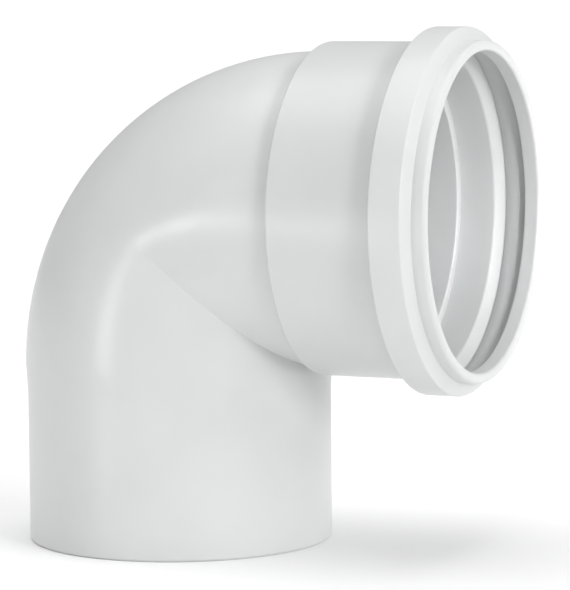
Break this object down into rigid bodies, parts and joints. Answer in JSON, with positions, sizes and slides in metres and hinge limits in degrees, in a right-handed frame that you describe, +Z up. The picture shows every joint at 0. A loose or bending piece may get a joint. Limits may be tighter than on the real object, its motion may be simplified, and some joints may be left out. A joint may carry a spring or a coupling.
{
  "type": "flue elbow",
  "caption": "Single-wall push-fit flue elbow that turns a round duct through a right angle, with a plain spigot and a sealed socket.",
  "frame": {"origin": "centre of the spigot's end face", "axes": "+Z up along the spigot's axis into the elbow, +X the way the socket opens, and the XZ plane is the elbow's plane of symmetry"},
  "size_m": [0.1268, 0.0936, 0.1348],
  "materials": {
    "bend_white": "satin",
    "sleeve_white": "satin",
    "collar_white": "satin",
    "seal_grey": "matte"
  },
  "bodies": {
    "root": {"bend_tube": "bend_white", "socket_sleeve": "sleeve_white", "seal_retaining_collar": "collar_white", "lip_seal": "seal_grey"}
  },
  "joints": []
}
